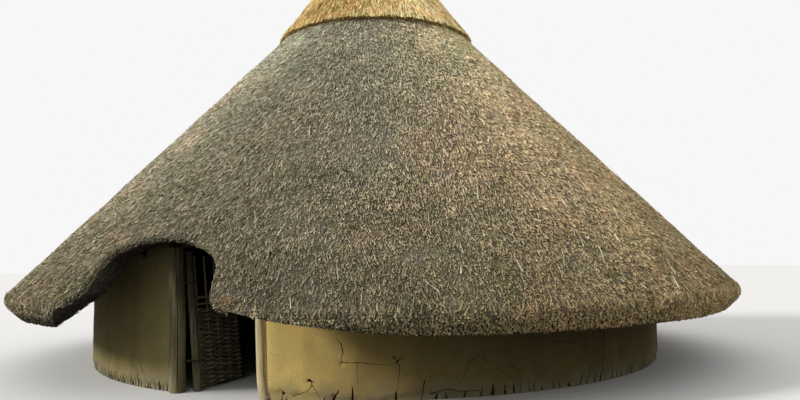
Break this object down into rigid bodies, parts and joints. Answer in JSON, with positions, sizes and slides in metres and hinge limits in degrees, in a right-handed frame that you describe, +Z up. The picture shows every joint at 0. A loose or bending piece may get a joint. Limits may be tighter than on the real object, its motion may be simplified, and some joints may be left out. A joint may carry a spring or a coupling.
{
  "type": "round house with a thatched roof",
  "caption": "Round wattle-and-daub house with a conical reed thatch cut into an arch over the doorway, a straw ridge cap, and a woven hurdle door that swings inwards.",
  "frame": {"origin": "centre of the wall circle, at ground level", "axes": "+Z up; the doorway's middle line is along -Y; +X to the right of someone facing the doorway"},
  "size_m": [11, 10.9089, 6.5688],
  "materials": {
    "daub": "dry earth plaster, cracked, broken away at its foot",
    "reed_thatch": "weathered reed ends, matt",
    "straw": "new straw, slightly shiny",
    "grey_timber": "weathered, peeled, with drying cracks",
    "pale_timber": "weathered pale, smooth",
    "roof_poles": "smoke-dark peeled poles",
    "hazel_rods": "bark on",
    "door_wattle": "old bark, matt"
  },
  "bodies": {
    "root": {"wall_right_of_door": "daub", "wall_right_front": "daub", "wall_right_back": "daub", "wall_back_right": "daub", "wall_back_left": "daub", "wall_left_back": "daub", "wall_left_front": "daub", "wall_left_of_door": "daub", "left_door_post": "grey_timber", "right_door_post": "pale_timber", "door_lintel": "grey_timber", "wall_plate": "roof_poles", "long_rafters": "roof_poles", "short_rafters_right": "roof_poles", "short_rafters_left": "roof_poles", "upper_hoops": "hazel_rods", "lower_hoops": "hazel_rods", "thatch_top": "reed_thatch", "thatch_upper": "reed_thatch", "thatch_middle": "reed_thatch", "thatch_lower": "reed_thatch", "thatch_eave": "reed_thatch", "straw_cap": "straw", "lower_withy_tie": "hazel_rods", "upper_withy_tie": "hazel_rods"},
    "door": {"door_pole": "grey_timber", "door_stakes": "door_wattle", "door_rails": "door_wattle", "door_weave": "door_wattle"}
  },
  "joints": [
    {"name": "door_hinge", "type": "hinge", "parent": "root", "child": "door", "pos_m": [-0.385, -4.18, 0], "axis": [-0.0958, 0, 0.9954], "range_deg": [-92, 18]}
  ]
}
